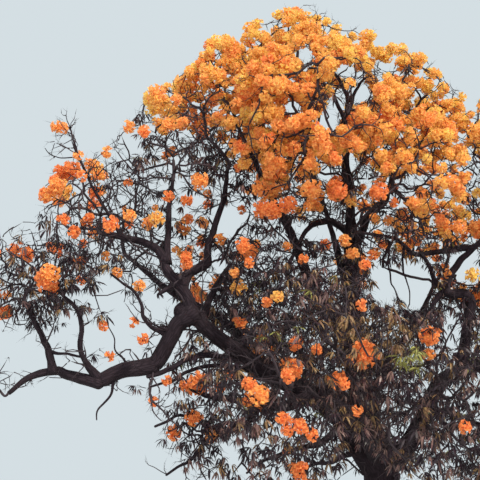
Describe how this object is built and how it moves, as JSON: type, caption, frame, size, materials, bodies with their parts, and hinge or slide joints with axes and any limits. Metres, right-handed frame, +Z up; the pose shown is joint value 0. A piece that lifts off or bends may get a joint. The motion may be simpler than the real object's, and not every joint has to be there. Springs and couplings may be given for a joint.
{
  "type": "trumpet tree",
  "caption": "Old spreading trumpet tree in full bloom: low forking trunk, sinuous dark boughs, golden heads of blossom over hanging palmate leaves.",
  "frame": {"origin": "middle of the flat cut under the trunk, at ground level", "axes": "+Z up the trunk; +X to the right and +Y away from the viewer in the picture; -X is the side of the long level west bough"},
  "size_m": [8.4275, 6.3716, 8.1042],
  "materials": {
    "bark": "dark furrowed bark, matt",
    "blossom": "golden orange trumpet flowers in round heads, soft and matt, among twigs and leaves",
    "foliage": "hanging palmate leaves, dry olive to brown, with few heads of blossom"
  },
  "bodies": {
    "root": {"trunk": "bark", "west_bough": "bark", "rising_bough": "bark", "west_drop_bough": "bark", "west_level_bough": "bark", "centre_bough": "bark", "east_bough": "bark", "front_bough": "bark", "back_bough": "bark", "far_west_bough": "bark", "far_west_riser": "bark", "west_fork": "bark", "west_shoot": "bark", "rising_up_bough": "bark", "rising_right_bough": "bark", "west_high_bough": "bark", "north_west_bough": "bark", "centre_west_bough": "bark", "arch_bough": "bark", "front_top_bough": "bark", "top_east_bough": "bark", "back_top_bough": "bark", "east_riser": "bark", "east_mid_bough": "bark", "east_inner_bough": "bark", "east_back_bough": "bark", "front_west_bough": "bark", "low_west_bough": "bark", "front_east_bough": "bark", "low_east_bough": "bark", "back_west_bough": "bark", "back_east_bough": "bark", "far_west_mass": "blossom", "far_drop_mass": "foliage", "west_fork_mass": "foliage", "west_shoot_mass": "blossom", "upper_west_mass": "blossom", "rising_mass": "blossom", "shoulder_mass": "blossom", "west_high_mass": "foliage", "north_west_mass": "blossom", "high_west_mass": "blossom", "leafy_heart_mass": "foliage", "front_top_mass": "blossom", "top_mass": "blossom", "top_east_mass": "blossom", "back_top_mass": "blossom", "east_inner_mass": "blossom", "east_mid_mass": "blossom", "east_mass": "blossom", "east_back_mass": "blossom", "front_mass": "foliage", "front_west_mass": "foliage", "low_west_mass": "foliage", "front_east_mass": "foliage", "low_east_mass": "foliage", "back_mass": "blossom", "back_west_mass": "blossom", "back_east_mass": "blossom"}
  },
  "joints": []
}
